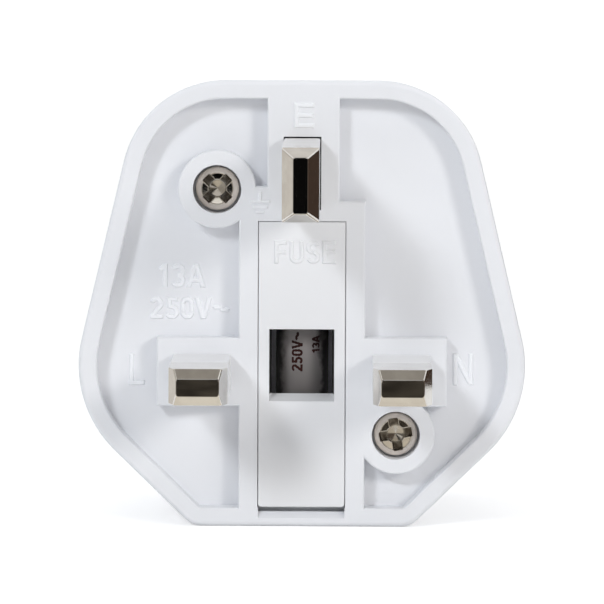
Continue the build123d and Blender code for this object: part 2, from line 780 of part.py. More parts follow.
with BuildPart() as earth_contact:
    with BuildSketch(Plane.XY.offset(earth_entry_height - contact_height / 2)):
        with BuildLine():
            FilletPolyline(*jaw_path(-earth_jaw_half, earth_jaw_half), radius=contact_bend_radius)
        trace(line_width=contact_strip)
    extrude(amount=contact_height)
    with BuildSketch(behind(web_back)):
        span(-tab_half, tab_half, earth_entry_height, earth_pin_above + tab_half)
    extrude(amount=contact_strip)
    with BuildSketch(behind(web_back)):
        with Locations((0, earth_pin_above)):
            Circle(pin_stub_radius)
    extrude(amount=contact_strip, mode=Mode.SUBTRACT)
earth_contact.part.label = "earth_contact"
export_step(earth_contact.part, "parts/earth_contact.step")

# Shutter: two ramped lobes behind the live entries, the bar between them, a stem and the spring's foot
with BuildPart() as shutter:
    ramp_back = shutter_back + shutter_skin
    for left in (-shutter_outer, shutter_inner):
        with BuildSketch(Plane.YZ.offset(left)):
            with BuildLine():
                Polyline(
                    (shutter_back, shutter_bottom),
                    (ramp_back, shutter_bottom),
                    (ramp_back, socket_row_height - shutter_ramp_half),
                    (shutter_front, socket_row_height + shutter_ramp_half),
                    (shutter_front, shutter_top),
                    (shutter_back, shutter_top),
                    close=True,
                )
            make_face()
        extrude(amount=shutter_outer - shutter_inner)
    with BuildSketch(behind(shutter_back + shutter_bar_thickness)):
        span(-shutter_inner, shutter_inner, shutter_bottom, shutter_bottom + shutter_bar_height)
    extrude(amount=shutter_bar_thickness)
    with BuildSketch(Plane.XY.offset(shutter_foot_bottom)):
        with Locations((0, spring_depth)):
            Circle(shutter_stem_radius)
    extrude(amount=shutter_bottom + shutter_bar_height / 2 - shutter_foot_bottom)
    with BuildSketch(Plane.XY.offset(shutter_foot_bottom)):
        with Locations((0, spring_depth)):
            Circle(spring_radius + spring_wire_radius)
    extrude(amount=shutter_foot_height)
shutter.part.label = "shutter"
export_step(shutter.part, "parts/shutter.step")

# Shutter spring: a coil round the stem, between the shutter's foot and the cover's rib
spring_low = shutter_foot_bottom + shutter_foot_height + spring_wire_radius + spring_seat_gap
spring_high = spring_rib_bottom - spring_wire_radius - spring_seat_gap
spring_height = spring_high - spring_low
with BuildPart() as shutter_spring:
    with BuildLine(Plane(origin=(0, spring_depth, spring_low))) as coil:
        Helix(pitch=spring_height / spring_turns, height=spring_height, radius=spring_radius)
    with BuildSketch(Plane(origin=coil.line @ 0, z_dir=coil.line % 0)):
        Circle(spring_wire_radius)
    sweep(path=coil.line, is_frenet=True)
shutter_spring.part.label = "shutter_spring"
export_step(shutter_spring.part, "parts/shutter_spring.step")

# Shutter retainer: the plate on the cover's rails that keeps the shutter in, open for the plug's pins
with BuildPart() as shutter_retainer:
    with BuildSketch(behind(retainer_back)):
        add(inner_outline(body_depth, shell_wall + retainer_edge_clearance))
        span(-rail_outer, rail_outer, 0, rail_top, mode=Mode.INTERSECT)
        for side in (-1, 1):
            add(live_entry(side, retainer_entry_room), mode=Mode.SUBTRACT)
        with Locations((0, earth_entry_height)):
            Circle(earth_entry_radius + retainer_entry_room, mode=Mode.SUBTRACT)
        with Locations(*screw_places):
            Circle(inner_boss_radius + retainer_edge_clearance, mode=Mode.SUBTRACT)
        with Locations(*retainer_pegs):
            Circle(retainer_peg_radius + peg_clearance, mode=Mode.SUBTRACT)
    extrude(amount=retainer_thickness)
shutter_retainer.part.label = "shutter_retainer"
export_step(shutter_retainer.part, "parts/shutter_retainer.step")
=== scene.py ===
"""Looks of a fused travel adapter: finishes, raised letters, screws, shutter spring, studio and camera.

Sizes are in millimetres in the part's own frame: X right, Z up, Y the depth behind the pin face.
"""
import json
import math

import bpy
import numpy as np
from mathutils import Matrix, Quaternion, Vector


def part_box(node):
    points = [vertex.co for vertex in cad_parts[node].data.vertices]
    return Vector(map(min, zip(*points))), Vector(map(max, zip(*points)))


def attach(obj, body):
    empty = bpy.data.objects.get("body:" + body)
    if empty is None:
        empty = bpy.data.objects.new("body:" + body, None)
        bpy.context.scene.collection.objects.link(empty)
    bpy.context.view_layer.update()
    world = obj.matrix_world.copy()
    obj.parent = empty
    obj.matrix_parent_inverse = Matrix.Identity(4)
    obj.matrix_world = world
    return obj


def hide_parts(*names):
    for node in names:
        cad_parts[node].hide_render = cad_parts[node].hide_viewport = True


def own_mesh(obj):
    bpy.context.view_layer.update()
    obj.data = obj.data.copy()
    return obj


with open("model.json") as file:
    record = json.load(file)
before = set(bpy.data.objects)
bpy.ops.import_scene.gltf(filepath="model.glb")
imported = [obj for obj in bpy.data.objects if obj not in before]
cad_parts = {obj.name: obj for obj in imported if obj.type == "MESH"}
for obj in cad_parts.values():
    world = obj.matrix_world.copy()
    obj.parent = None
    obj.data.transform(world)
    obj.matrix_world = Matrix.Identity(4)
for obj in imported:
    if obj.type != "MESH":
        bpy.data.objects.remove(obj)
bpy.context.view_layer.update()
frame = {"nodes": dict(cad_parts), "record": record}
MM = 0.001

# Places on the pin face
FACE_DEPTH = 0.0
RECESS_DEPTH = 2.5

# Raised letters: sizes in millimetres, strokes and gaps in shares of the letter's height
RELIEF_HEIGHT = 0.2
RELIEF_SINK = 0.03
RELIEF_EDGE = 0.2
RELIEF_PITCH = 0.03
SIGN_EDGE = 0.12
STROKE_HALF = 0.083
PIN_STROKE_HALF = 0.066
RATING_STROKE_HALF = 0.095
SIGN_STROKE_HALF = 0.06
LETTER_GAP = 0.13

# Print on the fuse
INK_HEIGHT = 0.012
INK_SINK = 0.004
INK_EDGE = 0.06
INK_PITCH = 0.02
INK_STROKE_HALF = 0.085

# Cross-head screws: the depth of the seat, then the head, the thread and the turn of each cross
SCREW_SEAT = 3.2
SCREW_HEAD_RADIUS = 2.42
SCREW_HEAD_HEIGHT = 1.9
SCREW_DOME = 0.6
SCREW_DOME_SLOPE = 0.35
SCREW_DOME_ROUND = 0.98
SCREW_CROWN_RADIUS = 1.74
SCREW_CROWN_RISE = 0.05
SCREW_CROWN_SINK = 0.1
SCREW_BRIM = 0.03
SCREW_BRIM_DROP = 0.05
SCREW_BACK_EDGE = 0.02
SCREW_SHANK_RADIUS = 1.45
SCREW_ROOT_RADIUS = 1.12
SCREW_THREAD_PITCH = 1.3
SCREW_THREAD_STEEPNESS = 1.6
SCREW_THREAD_FLAT = 0.6
SCREW_POINT = 2.0
SCREW_TURNS = (45, 10)

# Cross recess of the screws
CROSS_ARM = 1.84
CROSS_HALF_WIDTH = 0.5
CROSS_FLARE = 0.98
CROSS_DEPTH = 1.2
CROSS_CONE = 0.9
CROSS_CONE_BLUR = 0.3
CROSS_MIDDLE_SHARE = 0.36
CROSS_FLOOR_DEPTH = 0.95
CROSS_FLOOR_RISE = 0.02
CROSS_END_DEPTH = 0.25
CROSS_END_SLOPE = 5.0
CROSS_EDGE = 0.07
CROSS_LIP = 0.06
CROSS_LIP_WIDTH = 0.05

# Points on a screw: the steps round it, the rings on its face and its thread, and where those start
SCREW_STEPS = 216
SCREW_MIDDLE = 0.004
SCREW_FIRST_RING = 0.04
SCREW_FACE_RINGS = 100
SCREW_THREAD_RINGS = 96
SCREW_THREAD_GAP = 0.05

# Plating of the screws, with painted shade in the arms of their cross: reaches from the axis in millimetres,
# noise in features a metre
ARM_SHARE = "arm_share"
SCREW_TONES = ((0.54, 0.5, 0.44), (0.64, 0.6, 0.53))
SCREW_RING_TONE = (0.92, 0.85, 0.77)
SCREW_RING_START = 1.67
SCREW_RING_END = 1.87
SCREW_RING_DULLNESS = 0.24
SCREW_ARM_SHADE = (0.1, 0.08, 0.06)
SCREW_ARM_DULLNESS = 0.15
SCREW_ARM_SHADE_SCALE = 1400.0
SCREW_ARM_SHADE_DETAIL = 2.0
SCREW_ARM_SHADE_RANGE = (0.38, 0.62)
SCREW_ARM_SHADE_SHARES = (0.72, 1.0)

# Painted shade in the fuse window: its edges on the carrier, how deep and how far round the shade reaches,
# and how dark it is
WINDOW_X = (-4.1, 4.1)
WINDOW_Z = (14.9, 22.4)
WINDOW_SHADE_START = 0.1
WINDOW_SHADE_END = 0.5
WINDOW_SHADE_BLUR = 0.05
WINDOW_SHADE = (0.008, 0.007, 0.007)

# Painted shade on the fuse tube, darker towards its sides and lower down: reaches in shares of its radius,
# noise in features a metre
TUBE_SHADE = (0.02, 0.018, 0.017)
TUBE_SHADE_START = 0.45
TUBE_SHADE_END = 0.88
TUBE_LOW_SHADE = 0.55
TUBE_SHADE_WOBBLE = 0.4
TUBE_SHADE_WOBBLE_SCALE = 900.0

# Shutter return spring
SPRING_TURNS = 7.5
SPRING_END_TURNS = 1.0
SPRING_END_CLIMB = 0.33
SPRING_END_DELAY = 0.4
SPRING_WIRE = 0.2
SPRING_STEPS = 420
SPRING_WIRE_STEPS = 12

# Skins of plastic and metal: noise in features a metre, depths of their bumps in millimetres
NOISE_MIDDLE = 0.5
NOISE_SPREAD = (0.3, 0.7)
GRAIN_DETAIL = 2.0
FLOW_DETAIL = 4.0
FLOW_ROUGHNESS = 0.55
FLOW_HEIGHT = 0.3
RUBBED_SCALE = 7.0
STREAK_ROUGHNESS = 0.6
CLOUD_SCALE = 420.0
PIT_SCALE = 5200.0
PIT_DETAIL = 1.0
PIT_RANGE = (0.2, 0.32)
PLASTIC_SATIN = 0.34
PLASTIC_GLOSS_SPREAD = 0.06
PLASTIC_BUMP_DEPTH = 0.004
PLATED_BUMP_DEPTH = 0.003

# Studio: the world, the floor with its glow by the distance in metres, a card's streaks and a steep panel
WORLD_COLOUR = (0.97, 0.98, 1.0)
WORLD_FRONT = 0.3
WORLD_BACK = 0.85
WORLD_TURN = 0.3
FLOOR_SIZE = 6000
FLOOR_COLOUR = (0.9, 0.9, 0.9)
FLOOR_DARKER = 0.99
FLOOR_GRAIN_SCALE = 30.0
FLOOR_ROUGHNESS = 0.9
FLOOR_GLOW = (0.34, 0.56)
FLOOR_GLOW_REACH = (0.15, 1.4)
FLOOR_MIRROR_SHARE = 0.5
CARD_STREAK_STRETCH = (0.12, 1, 1)
CARD_STREAK_SCALE = 2000.0
CARD_STREAK_RANGE = (0.4, 0.6)
STEEP_PANEL = 0.9

# Camera: the line of sight meets the pin face at the aim
AIM = (0.01, 0.0, 25.25)
VIEW_DISTANCE = 518.0
VIEW_ELEVATION = 4.95
VIEW_AZIMUTH = 0.53
VIEW_ROLL = 0.22
LENS = 276.9
SENSOR = 36.0
CLIP_START = 10
CLIP_END = 20000


def node_box(node):
    """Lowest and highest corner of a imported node, in millimetres."""
    low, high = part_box(node)
    return np.array(low) / MM, np.array(high) / MM


# Meshes from arrays

def smooth_step(x):
    """0 below 0, 1 above 1 and 3x^2 - 2x^3 between."""
    x = np.clip(x, 0, 1)
    return x * x * (3 - 2 * x)


def grid_quads(rows, columns, closed=False):
    """Quads of a grid of rows by columns points, joined round along each row if closed."""
    steps = columns if closed else columns - 1
    row, column = np.meshgrid(np.arange(rows - 1), np.arange(steps), indexing="ij")
    after = (column + 1) % columns
    corners = (row * columns + column, row * columns + after,
               (row + 1) * columns + after, (row + 1) * columns + column)
    return np.stack([c.ravel() for c in corners], axis=1)


def enclosed_volume(points, quads):
    """Volume inside closed quads: a sixth of the sum of the triple products of each half quad."""
    a, b, c, d = (points[quads[:, i]] for i in range(4))
    halves = np.einsum("ij,ij->i", a, np.cross(b, c)) + np.einsum("ij,ij->i", a, np.cross(c, d))
    return halves.sum() / 6


def add_piece(name, points, faces, material, body, shares=None):
    """A smooth mesh piece from points in millimetres, on a body, with the given material.

    The shares are a value for each point, kept on the mesh under the name that its material reads.
    """
    mesh = bpy.data.meshes.new(name)
    mesh.from_pydata((points * MM).tolist(), [], faces)
    mesh.polygons.foreach_set("use_smooth", np.ones(len(faces), bool))
    if shares is not None:
        kept = mesh.attributes.new(ARM_SHARE, "FLOAT", "POINT")
        kept.data.foreach_set("value", shares.astype(np.float32))
    mesh.validate()
    mesh.update()
    mesh.materials.append(material)
    piece = bpy.data.objects.new(name, mesh)
    bpy.context.scene.collection.objects.link(piece)
    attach(piece, body)
    return piece


def close_ends(points, rows, columns):
    """The points of a tube of rows closed round, with a middle point for each end, its quads and its fans.

    A fan's triangle is kept as a quad whose last corner is repeated.
    """
    quads = grid_quads(rows, columns, closed=True)
    ends = points.reshape(rows, columns, 3)[[0, -1]].mean(axis=1)
    first, last = len(points), len(points) + 1
    here, after = np.arange(columns), (np.arange(columns) + 1) % columns
    front = np.stack([after, here, np.full(columns, first), np.full(columns, first)], axis=1)
    base = (rows - 1) * columns
    back = np.stack([base + here, base + after, np.full(columns, last), np.full(columns, last)], axis=1)
    return np.concatenate([points, ends]), quads, np.concatenate([front, back])


def add_capped_piece(name, tubes, material, body, shares=None):
    """One piece from several tubes of rows, each shut at both ends, with its faces turned outwards.

    The shares hold one array for each tube, with a value for each of its points.
    """
    all_points, all_faces, start = [], [], 0
    for points, rows, columns in tubes:
        points, quads, fans = close_ends(points, rows, columns)
        if enclosed_volume(points, np.concatenate([quads, fans])) < 0:
            quads, fans = quads[:, ::-1], fans[:, [1, 0, 2, 3]]
        all_points.append(points)
        all_faces += (quads + start).tolist() + (fans[:, :3] + start).tolist()
        start += len(points)
    if shares is not None:
        end_points = np.zeros(2)
        shares = np.concatenate([np.concatenate([share.ravel(), end_points]) for share in shares])
    return add_piece(name, np.concatenate(all_points), all_faces, material, body, shares)


# Raised letters

def bar(x, y, half, start, end):
    """Distance outside a straight stroke: the larger of how far a point lies past its ends and its sides."""
    run = np.array(end) - np.array(start)
    length = np.hypot(*run)
    along = ((x - start[0]) * run[0] + (y - start[1]) * run[1]) / length
    across = ((y - start[1]) * run[0] - (x - start[0]) * run[1]) / length
    return np.maximum(np.abs(along - length / 2) - length / 2, np.abs(across) - half)


def arc(x, y, half, centre, radius, start, end):
    """Distance outside a round stroke: the larger of its offset from the circle and its way past an end."""
    offset = np.abs(np.hypot(x - centre[0], y - centre[1]) - radius) - half
    middle, spread = math.radians((start + end) / 2), math.radians((end - start) / 2)
    turn = np.arctan2(y - centre[1], x - centre[0]) - middle
    turn = np.abs((turn + np.pi) % (2 * np.pi) - np.pi)
    return np.maximum(offset, (turn - spread) * radius)


# Letters and signs: the width and the strokes of each, in shares of its height
HALF = STROKE_HALF
BOWL = (1 - 2 * HALF) / 4
ROUND = 2 * (BOWL + HALF)
LETTERS = {
    "E": (0.58, [(bar, (HALF, 0), (HALF, 1)), (bar, (0, 1 - HALF), (0.58, 1 - HALF)),
                 (bar, (0, 0.51), (0.54, 0.51)), (bar, (0, HALF), (0.58, HALF))]),
    "F": (0.55, [(bar, (HALF, 0), (HALF, 1)), (bar, (0, 1 - HALF), (0.55, 1 - HALF)),
                 (bar, (0, 0.5), (0.5, 0.5))]),
    "U": (0.62, [(bar, (HALF, 1), (HALF, 0.31)), (bar, (0.62 - HALF, 1), (0.62 - HALF, 0.31)),
                 (arc, (0.31, 0.31), 0.31 - HALF, 180, 360)]),
    "S": (ROUND, [(arc, (ROUND / 2, 1 - HALF - BOWL), BOWL, 25, 270),
                  (arc, (ROUND / 2, HALF + BOWL), BOWL, -155, 90)]),
    "L": (0.48, [(bar, (HALF, 0), (HALF, 1)), (bar, (0, HALF), (0.48, HALF))]),
    "N": (0.66, [(bar, (HALF, 0), (HALF, 1)), (bar, (0.66 - HALF, 0), (0.66 - HALF, 1)),
                 (bar, (0.04, 1.06), (0.62, -0.06))]),
    "1": (0.38, [(bar, (0.26, 0), (0.26, 1)), (bar, (0.26, 0.94), (0.03, 0.74))]),
    "2": (ROUND, [(arc, (ROUND / 2, 1 - HALF - BOWL), BOWL, -35, 165), (bar, (0.48, 0.61), (0.04, 0.06)),
                  (bar, (0, HALF), (ROUND, HALF))]),
    "3": (ROUND, [(arc, (ROUND / 2, 1 - HALF - BOWL), BOWL, -90, 150),
                  (arc, (ROUND / 2, HALF + BOWL), BOWL, -150, 90)]),
    "5": (ROUND, [(bar, (0.08, 1 - HALF), (ROUND - 0.02, 1 - HALF)),
                  (bar, (0.08 + HALF, 1), (0.08 + HALF, 0.5)),
                  (arc, (ROUND / 2 - 0.02, HALF + 0.24), 0.24, -150, 125)]),
    "0": (ROUND, [(arc, (ROUND / 2, 1 - ROUND / 2), BOWL, 0, 180),
                  (arc, (ROUND / 2, ROUND / 2), BOWL, 180, 360),
                  (bar, (HALF, ROUND / 2), (HALF, 1 - ROUND / 2)),
                  (bar, (ROUND - HALF, ROUND / 2), (ROUND - HALF, 1 - ROUND / 2))]),
    "A": (0.7, [(bar, (0.02, -0.06), (0.35, 1.06)), (bar, (0.68, -0.06), (0.35, 1.06)),
                (bar, (0.16, 0.3), (0.54, 0.3))]),
    "V": (0.66, [(bar, (0.02, 1.06), (0.33, -0.06)), (bar, (0.64, 1.06), (0.33, -0.06))]),
    "~": (0.72, [(arc, (0.2, 0.36), 0.2, 40, 140), (arc, (0.52, 0.62), 0.2, 220, 320)]),
    "wide E": (0.8, [(bar, (HALF, 0), (HALF, 1)), (bar, (0, 1 - HALF), (0.8, 1 - HALF)),
                     (bar, (0, 0.5), (0.76, 0.5)), (bar, (0, HALF), (0.8, HALF))]),
    "earth": (0.93, [(bar, (0.465, 1), (0.465, 0.555)), (bar, (0, 0.555), (0.93, 0.555)),
                     (bar, (0.1, 0.306), (0.83, 0.306)), (bar, (0.255, 0.06), (0.675, 0.06))]),
}

# How a word stands out: its rise, its sink, its edge's width, its points' pitch and half its stroke
LETTER_FORM = {"rise": RELIEF_HEIGHT, "sink": RELIEF_SINK, "edge": RELIEF_EDGE, "pitch": RELIEF_PITCH,
               "half": STROKE_HALF}
PIN_FORM = {**LETTER_FORM, "half": PIN_STROKE_HALF}
RATING_FORM = {**LETTER_FORM, "half": RATING_STROKE_HALF}
SIGN_FORM = {**LETTER_FORM, "edge": SIGN_EDGE, "half": SIGN_STROKE_HALF}
INK_FORM = {"rise": INK_HEIGHT, "sink": INK_SINK, "edge": INK_EDGE, "pitch": INK_PITCH,
            "half": INK_STROKE_HALF}


def flat_place(centre, depth):
    """Lays a word out on a face that looks towards the pins: across is X, up is Z, height is outwards."""
    def place(across, up, height):
        return np.stack([centre[0] + across, depth - height, centre[1] + up], axis=-1)
    return place


def tube_place(axis, radius, turn, middle):
    """Wraps a word round an upright tube: across is Z, up is an arc to the left, height is outwards."""
    def place(across, up, height):
        angle = turn - up / radius
        reach = radius + height
        x, y = axis[0] + reach * np.sin(angle), axis[1] - reach * np.cos(angle)
        return np.stack([x, y, middle + across], axis=-1)
    return place


def outside_word(glyphs, half, x, y):
    """Distance outside a word's strokes, its letters side by side: the least over the strokes, and at least
    the distance above or below the line of letters."""
    outside = np.full(x.shape, np.inf)
    left = 0.0
    for width, strokes in glyphs:
        for stroke, *shape in strokes:
            outside = np.minimum(outside, stroke(x - left, y, half, *shape))
        left += width + LETTER_GAP
    return np.maximum(outside, np.abs(y - 0.5) - 0.5)


def add_word(name, word, height, place, material, body, form):
    """A raised word. Its height over the face is the rise times a smooth step of the distance into its
    strokes, and it starts just under the face. A flat underside closes it."""
    rise, sink, edge, pitch, half = (form[key] for key in ("rise", "sink", "edge", "pitch", "half"))
    glyphs = [LETTERS[word]] if word in LETTERS else [LETTERS[letter] for letter in word]
    width = sum(glyph[0] for glyph in glyphs) + LETTER_GAP * (len(glyphs) - 1)
    margin = edge / height
    x, y = np.meshgrid(np.arange(-margin, width + margin, pitch / height),
                       np.arange(-margin, 1 + margin, pitch / height), indexing="ij")
    step = smooth_step(0.5 - outside_word(glyphs, half, x, y) * height / edge)
    across, up = (x - width / 2) * height, (y - 0.5) * height
    top = place(across, up, (rise + sink) * step - sink).reshape(-1, 3)
    under = place(across, up, np.full(step.shape, -sink)).reshape(-1, 3)
    quads = grid_quads(*step.shape)
    raised = step.ravel() > 0
    quads = quads[raised[quads].any(axis=1)]
    below = np.where(raised, np.arange(len(top)) + len(top), np.arange(len(top)))
    quads = np.concatenate([quads, below[quads][:, ::-1]])
    used, renumbered = np.unique(quads, return_inverse=True)
    points, quads = np.concatenate([top, under])[used], renumbered.reshape(-1, 4)
    if enclosed_volume(points, quads) < 0:
        quads = quads[:, ::-1]
    add_piece(name, points, quads.tolist(), material, body)


# Screws and spring

def screw_face(radius, around):
    """Depth of a screw's face behind its highest plane, and a share of 1 in the arms of its cross.

    The crown is nearly flat and a little sunk, and the ring round it falls off as an arc. The cross is cut
    where a point lies inside one of two crossed bars or the middle disc, down to a cone in the middle and a
    nearly level floor in the arms, with steep ends, and a thin lip stands along its edge.
    """
    x, y = np.abs(radius * np.cos(around)), np.abs(radius * np.sin(around))
    cross = np.maximum(np.maximum(x, y) - CROSS_ARM, np.minimum(x, y) - CROSS_HALF_WIDTH)
    cross = np.minimum(cross, radius - CROSS_FLARE)
    cut = smooth_step(0.5 - cross / CROSS_EDGE)
    crown = SCREW_CROWN_SINK + SCREW_CROWN_RISE * ((radius / SCREW_CROWN_RADIUS) ** 2 - 1)
    outward = np.clip((radius - SCREW_CROWN_RADIUS) / (SCREW_HEAD_RADIUS - SCREW_CROWN_RADIUS), 0, 1)
    fall = 1 - np.sqrt(1 - SCREW_DOME_ROUND * outward ** 2)
    ring = SCREW_DOME * (SCREW_DOME_SLOPE * outward + (1 - SCREW_DOME_SLOPE) * fall)
    on_crown = smooth_step((SCREW_CROWN_RADIUS - radius) / CROSS_EDGE + 0.5)
    lip = CROSS_LIP * np.exp(-(cross / CROSS_LIP_WIDTH) ** 2)
    head = ring * (1 - on_crown) + crown * on_crown - lip
    cone = CROSS_DEPTH - (CROSS_DEPTH - CROSS_FLOOR_DEPTH) * np.minimum(radius / CROSS_CONE, 1)
    level = cone - CROSS_FLOOR_RISE * np.maximum(radius - CROSS_CONE, 0)
    floor = np.minimum(level, CROSS_END_DEPTH + CROSS_END_SLOPE * (CROSS_ARM - radius))
    past_cone = smooth_step((radius - CROSS_CONE) / CROSS_CONE_BLUR)
    arms = cut * (CROSS_MIDDLE_SHARE + (1 - CROSS_MIDDLE_SHARE) * past_cone)
    return head + cut * np.maximum(floor - head, 0), arms


def screw_thread(run, around, length):
    """Radius of a screw's shank: a saw-tooth of the depth over the pitch less the angle, so that the ridge
    climbs one pitch a turn, narrowed to the point."""
    ridge = np.abs((run / SCREW_THREAD_PITCH - around / (2 * np.pi)) % 1 - 0.5) * 2
    ridge = smooth_step(SCREW_THREAD_STEEPNESS * ridge - SCREW_THREAD_FLAT)
    reach = SCREW_ROOT_RADIUS + (SCREW_SHANK_RADIUS - SCREW_ROOT_RADIUS) * ridge
    return reach * np.clip((length - run) / SCREW_POINT, 0, 1)


def screw_surface(turn, length):
    """One cross-head screw round its axis: across, depth, up, and a share of 1 in the arms of its cross.

    Rings of points run out over the face, round the brim, in behind the head and along the thread.
    """
    angle = np.linspace(0, 2 * np.pi, SCREW_STEPS, endpoint=False)
    rings = np.linspace(SCREW_FIRST_RING, SCREW_HEAD_RADIUS - SCREW_BRIM, SCREW_FACE_RINGS)
    face_radius, around = np.meshgrid(np.concatenate([[SCREW_MIDDLE], rings]), angle, indexing="ij")
    face_depth, arms = screw_face(face_radius, around)
    brim = [(SCREW_HEAD_RADIUS, SCREW_DOME + SCREW_BRIM_DROP),
            (SCREW_HEAD_RADIUS, SCREW_HEAD_HEIGHT - SCREW_BACK_EDGE),
            (SCREW_HEAD_RADIUS - SCREW_BACK_EDGE, SCREW_HEAD_HEIGHT),
            (SCREW_SHANK_RADIUS, SCREW_HEAD_HEIGHT)]
    brim_radius, brim_depth = (np.repeat(np.array(column)[:, None], SCREW_STEPS, axis=1)
                               for column in zip(*brim))
    run = np.linspace(SCREW_THREAD_GAP, length - SCREW_THREAD_GAP, SCREW_THREAD_RINGS)
    run, around = np.meshgrid(run, angle, indexing="ij")
    shank_radius = screw_thread(run, around, length)
    radius = np.concatenate([face_radius, brim_radius, shank_radius])
    depth = np.concatenate([face_depth, brim_depth, SCREW_HEAD_HEIGHT + run])
    arms = np.concatenate([arms, 0 * brim_radius, 0 * shank_radius])
    angle = angle[None, :] + math.radians(turn)
    return radius * np.cos(angle), depth, radius * np.sin(angle), arms


def spring_surface(low, high, centre, radius):
    """A coil: a wire circle carried along a helix whose climb is slower over the first and last turn.

    The height is the running sum of the climb, which is a third of the full one at both ends.
    """
    turn = np.linspace(0, SPRING_TURNS, SPRING_STEPS)
    from_end = np.minimum(turn, SPRING_TURNS - turn)
    quickened = smooth_step(from_end / SPRING_END_TURNS - SPRING_END_DELAY)
    climb = SPRING_END_CLIMB + (1 - SPRING_END_CLIMB) * quickened
    rise = np.concatenate([[0], np.cumsum((climb[1:] + climb[:-1]) / 2)])
    height = low + SPRING_WIRE + (high - low - 2 * SPRING_WIRE) * rise / rise[-1]
    angle = 2 * np.pi * turn[:, None]
    around = np.linspace(0, 2 * np.pi, SPRING_WIRE_STEPS, endpoint=False)[None, :]
    reach = radius - SPRING_WIRE + SPRING_WIRE * np.cos(around)
    x, y = centre[0] + reach * np.cos(angle), centre[1] + reach * np.sin(angle)
    z = height[:, None] + SPRING_WIRE * np.sin(around) + 0 * angle
    return np.stack([x, y, z], axis=-1).reshape(-1, 3), SPRING_STEPS, SPRING_WIRE_STEPS


# Material nodes

def add_node(tree, kind, inputs=None, **settings):
    """A node with its settings, and its sockets set to values or linked to other nodes' outputs."""
    node = tree.nodes.new(kind)
    for key, value in settings.items():
        setattr(node, key, value)
    for socket, value in (inputs or {}).items():
        if isinstance(value, bpy.types.NodeSocket):
            tree.links.new(value, node.inputs[socket])
        else:
            node.inputs[socket].default_value = value
    return node


def math_node(tree, operation, *values):
    """One step of arithmetic on values or sockets."""
    return add_node(tree, "ShaderNodeMath", dict(enumerate(values)), operation=operation).outputs[0]


def vector_node(tree, operation, *vectors):
    """One step of arithmetic on vectors, as the outputs Vector and Value."""
    return add_node(tree, "ShaderNodeVectorMath", dict(enumerate(vectors)), operation=operation).outputs


def remap(tree, value, low, high, to_low=0.0, to_high=1.0):
    """A value from one range smoothly carried into another, and held at its ends."""
    ranges = {"Value": value, "From Min": low, "From Max": high, "To Min": to_low, "To Max": to_high}
    return add_node(tree, "ShaderNodeMapRange", ranges, interpolation_type="SMOOTHSTEP").outputs[0]


def within(tree, value, low, high, blur):
    """1 where a value lies between two bounds, with soft edges, and 0 outside."""
    return math_node(tree, "MULTIPLY", remap(tree, value, low - blur, low + blur),
                     remap(tree, value, high - blur, high + blur, 1.0, 0.0))


def mix_colours(tree, factor, first, second):
    """A blend of two colours, which are values or sockets."""
    node = add_node(tree, "ShaderNodeMix", {0: factor}, data_type="RGBA")
    for socket, colour in ((6, first), (7, second)):
        if isinstance(colour, bpy.types.NodeSocket):
            tree.links.new(colour, node.inputs[socket])
        else:
            node.inputs[socket].default_value = (*colour, 1)
    return node.outputs[2]


def noise(tree, vector, scale, detail=3.0, roughness=0.5):
    """Smooth noise over the object's own coordinates, with a scale in features a metre."""
    sockets = {"Vector": vector, "Scale": scale, "Detail": detail, "Roughness": roughness}
    return add_node(tree, "ShaderNodeTexNoise", sockets).outputs["Fac"]


def start_group(name, inputs, outputs):
    """An empty shader group with named sockets, the outputs of its inputs and the inputs of its outputs."""
    group = bpy.data.node_groups.new(name, "ShaderNodeTree")
    for label, kind, value in inputs:
        socket = group.interface.new_socket(label, in_out="INPUT", socket_type=kind)
        if value is not None:
            socket.default_value = value
    for label in outputs:
        group.interface.new_socket(label, in_out="OUTPUT", socket_type="NodeSocketFloat")
    return group, group.nodes.new("NodeGroupInput").outputs, group.nodes.new("NodeGroupOutput").inputs


def spread_gloss(tree, given, pattern):
    """The roughness of a skin: its gloss, moved up or down by a pattern times the spread."""
    offset = math_node(tree, "SUBTRACT", pattern, NOISE_MIDDLE)
    return math_node(tree, "ADD", given["Gloss"], math_node(tree, "MULTIPLY", given["Gloss Spread"], offset))


def moulded_skin_group():
    """Moulded plastic: broad flow mottling, a fine spark-eroded grain and a few rubbed patches."""
    tree, given, out = start_group("moulded_skin", [
        ("Vector", "NodeSocketVector", None),
        ("Grain Scale", "NodeSocketFloat", 9000.0),
        ("Flow Scale", "NodeSocketFloat", 60.0),
        ("Gloss", "NodeSocketFloat", 0.3),
        ("Gloss Spread", "NodeSocketFloat", 0.1),
    ], ["Tone", "Roughness", "Height"])
    grain = noise(tree, given["Vector"], given["Grain Scale"], GRAIN_DETAIL)
    flow = noise(tree, given["Vector"], given["Flow Scale"], FLOW_DETAIL, FLOW_ROUGHNESS)
    rubbed = noise(tree, given["Vector"], math_node(tree, "MULTIPLY", given["Flow Scale"], RUBBED_SCALE))
    tree.links.new(remap(tree, flow, *NOISE_SPREAD), out["Tone"])
    tree.links.new(spread_gloss(tree, given, rubbed), out["Roughness"])
    flow_height = math_node(tree, "MULTIPLY", flow, FLOW_HEIGHT)
    tree.links.new(math_node(tree, "ADD", grain, flow_height), out["Height"])
    return tree


